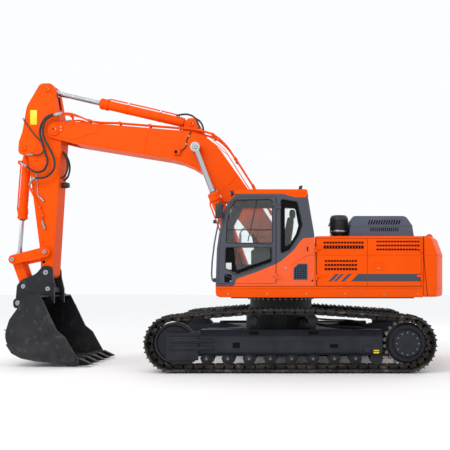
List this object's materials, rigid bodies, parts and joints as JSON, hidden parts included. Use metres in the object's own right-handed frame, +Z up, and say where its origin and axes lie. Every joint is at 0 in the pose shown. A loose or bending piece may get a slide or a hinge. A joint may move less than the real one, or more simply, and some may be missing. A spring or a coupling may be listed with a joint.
{
  "type": "crawler excavator",
  "caption": "Tracked digging machine: slewing house with cab, hinged boom, arm and bucket moved by hydraulic cylinders.",
  "frame": {"origin": "centre of the bounding box's base, on the ground", "axes": "+Z up, the machine faces -X, its left side is -Y"},
  "size_m": [8.5716, 3.35, 5.58],
  "materials": {
    "orange_paint": "semi-gloss paint with light dust",
    "undercarriage_paint": "dark grey paint, dusty",
    "grey_paint": "semi-gloss dark grey",
    "bucket_paint": "dark grey paint, worn at the edges",
    "track_steel": "dark, faces worn to bare steel",
    "bearing_steel": "greased steel",
    "cab_glass": "tinted",
    "seat_fabric": "woven",
    "black_plastic": "matt",
    "engine_iron": "rough",
    "rod_chrome": "polished"
  },
  "bodies": {
    "undercarriage": {"car_body": "undercarriage_paint", "slew_ring": "bearing_steel", "track_frame_l": "undercarriage_paint", "track_frame_r": "undercarriage_paint", "track_l": "track_steel", "track_r": "track_steel", "final_drive_l": "undercarriage_paint", "final_drive_r": "undercarriage_paint", "idler_l": "undercarriage_paint", "idler_r": "undercarriage_paint", "lower_rollers_l": "undercarriage_paint", "lower_rollers_r": "undercarriage_paint"},
    "house": {"deck": "undercarriage_paint", "side_skirt_l": "orange_paint", "side_skirt_r": "orange_paint", "cab_shell": "grey_paint", "cab_roof": "orange_paint", "windscreen": "cab_glass", "rear_glass": "cab_glass", "quarter_glass": "cab_glass", "right_glass": "cab_glass", "cab_seat": "seat_fabric", "controls": "black_plastic", "cab_rail": "grey_paint", "mirror_l": "black_plastic", "house_frame": "orange_paint", "step_box": "orange_paint", "step_rail": "grey_paint", "fuel_tank": "orange_paint", "hydraulic_tank": "orange_paint", "counterweight": "orange_paint", "engine_block": "engine_iron", "hood_front": "grey_paint", "precleaner": "black_plastic"},
    "cab_door": {"cab_door": "grey_paint", "door_glass_upper": "cab_glass", "door_glass_lower": "cab_glass"},
    "left_front_door": {"left_front_door": "orange_paint"},
    "left_rear_door": {"left_rear_door": "orange_paint"},
    "right_rear_door": {"right_rear_door": "orange_paint"},
    "engine_hood": {"engine_hood": "grey_paint"},
    "boom": {"boom": "orange_paint"},
    "arm": {"arm": "orange_paint"},
    "bucket": {"bucket": "bucket_paint", "quick_coupler": "bucket_paint"},
    "rocker_links": {"rocker_link_l": "orange_paint", "rocker_link_r": "orange_paint"},
    "power_link": {"power_link": "orange_paint"},
    "boom_cylinder_l_tube": {"boom_cylinder_l_tube": "orange_paint"},
    "boom_cylinder_l_rod": {"boom_cylinder_l_rod": "rod_chrome"},
    "boom_cylinder_r_tube": {"boom_cylinder_r_tube": "orange_paint"},
    "boom_cylinder_r_rod": {"boom_cylinder_r_rod": "rod_chrome"},
    "arm_cylinder_tube": {"arm_cylinder_tube": "orange_paint"},
    "arm_cylinder_rod": {"arm_cylinder_rod": "rod_chrome"},
    "bucket_cylinder_tube": {"bucket_cylinder_tube": "orange_paint"},
    "bucket_cylinder_rod": {"bucket_cylinder_rod": "rod_chrome"}
  },
  "joints": [
    {"name": "slew", "type": "hinge", "parent": "undercarriage", "child": "house", "pos_m": [1.09577, 0, 1.3], "axis": [0, 0, 1], "continuous": true},
    {"name": "boom_lift", "type": "hinge", "parent": "house", "child": "boom", "pos_m": [1.14577, 0, 2.05], "axis": [0, 1, 0], "range_deg": [-52, 30]},
    {"name": "arm_swing", "type": "hinge", "parent": "boom", "child": "arm", "pos_m": [-3.39222, 0, 4.644], "axis": [0, -1, 0], "range_deg": [-57, 28]},
    {"name": "bucket_curl", "type": "hinge", "parent": "arm", "child": "bucket", "pos_m": [-3.56323, 0, 1.808], "axis": [0, -1, 0], "range_deg": [-75, 65]},
    {"name": "cab_door_hinge", "type": "hinge", "parent": "house", "child": "cab_door", "pos_m": [1.06278, -1.472, 1.535], "axis": [0, 0, 1], "range_deg": [0, 165]},
    {"name": "left_front_door_hinge", "type": "hinge", "parent": "house", "child": "left_front_door", "pos_m": [1.78178, -1.472, 1.535], "axis": [0, 0, 1], "range_deg": [-110, 0]},
    {"name": "left_rear_door_hinge", "type": "hinge", "parent": "house", "child": "left_rear_door", "pos_m": [3.66178, -1.472, 1.535], "axis": [0, 0, 1], "range_deg": [0, 110]},
    {"name": "right_rear_door_hinge", "type": "hinge", "parent": "house", "child": "right_rear_door", "pos_m": [3.66178, 1.472, 1.535], "axis": [0, 0, -1], "range_deg": [0, 110]},
    {"name": "engine_hood_hinge", "type": "hinge", "parent": "house", "child": "engine_hood", "pos_m": [3.62577, 0, 2.45], "axis": [0, 1, 0], "range_deg": [0, 55]},
    {"name": "boom_cylinder_l_trunnion", "type": "hinge", "parent": "house", "child": "boom_cylinder_l_tube", "pos_m": [0.44577, -0.42, 1.62], "axis": [0, 1, 0], "range_deg": [-53, 31]},
    {"name": "boom_cylinder_l_stroke", "type": "slide", "parent": "boom_cylinder_l_tube", "child": "boom_cylinder_l_rod", "axis": [-0.3583, 0, 0.9336], "range_m": [-0.7, 0.41]},
    {"name": "boom_cylinder_r_trunnion", "type": "hinge", "parent": "house", "child": "boom_cylinder_r_tube", "pos_m": [0.44577, 0.42, 1.62], "axis": [0, 1, 0], "range_deg": [-53, 31]},
    {"name": "boom_cylinder_r_stroke", "type": "slide", "parent": "boom_cylinder_r_tube", "child": "boom_cylinder_r_rod", "axis": [-0.3583, 0, 0.9336], "range_m": [-0.7, 0.41]},
    {"name": "arm_cylinder_trunnion", "type": "hinge", "parent": "boom", "child": "arm_cylinder_tube", "pos_m": [-0.69422, 0, 4.8], "axis": [0, -1, 0], "range_deg": [-0.4, 0.2]},
    {"name": "arm_cylinder_stroke", "type": "slide", "parent": "arm_cylinder_tube", "child": "arm_cylinder_rod", "axis": [-0.9741, 0, 0.2262], "range_m": [-0.835, 0.39]},
    {"name": "bucket_cylinder_trunnion", "type": "hinge", "parent": "arm", "child": "bucket_cylinder_tube", "pos_m": [-4.02423, 0, 4.29], "axis": [0, -1, 0], "range_deg": [-2.3, 2]},
    {"name": "bucket_cylinder_stroke", "type": "slide", "parent": "bucket_cylinder_tube", "child": "bucket_cylinder_rod", "axis": [-0.0775, 0, -0.997], "range_m": [-0.63, 0.545]},
    {"name": "rocker_pivot", "type": "hinge", "parent": "arm", "child": "rocker_links", "pos_m": [-3.56323, 0, 2.214], "axis": [0, -1, 0], "range_deg": [-60.5, 52.5]},
    {"name": "power_link_pivot", "type": "hinge", "parent": "bucket", "child": "power_link", "pos_m": [-4.00922, 0, 1.53], "axis": [0, -1, 0], "range_deg": [-46, 52.5]}
  ],
  "couplings": [
    {"joint": "boom_cylinder_l_trunnion", "follows": "boom_lift", "ratio": 1.0059},
    {"joint": "boom_cylinder_l_stroke", "follows": "boom_lift", "m_per_rad": 0.7673},
    {"joint": "boom_cylinder_r_trunnion", "follows": "boom_lift", "ratio": 1.0059},
    {"joint": "boom_cylinder_r_stroke", "follows": "boom_lift", "m_per_rad": 0.7673},
    {"joint": "arm_cylinder_trunnion", "follows": "arm_swing", "ratio": 0.005},
    {"joint": "arm_cylinder_stroke", "follows": "arm_swing", "m_per_rad": 0.79},
    {"joint": "bucket_cylinder_trunnion", "follows": "bucket_curl", "ratio": 0.0279},
    {"joint": "bucket_cylinder_stroke", "follows": "bucket_curl", "m_per_rad": 0.4728},
    {"joint": "rocker_pivot", "follows": "bucket_curl", "ratio": 0.7928},
    {"joint": "power_link_pivot", "follows": "bucket_curl", "ratio": -0.6873}
  ]
}
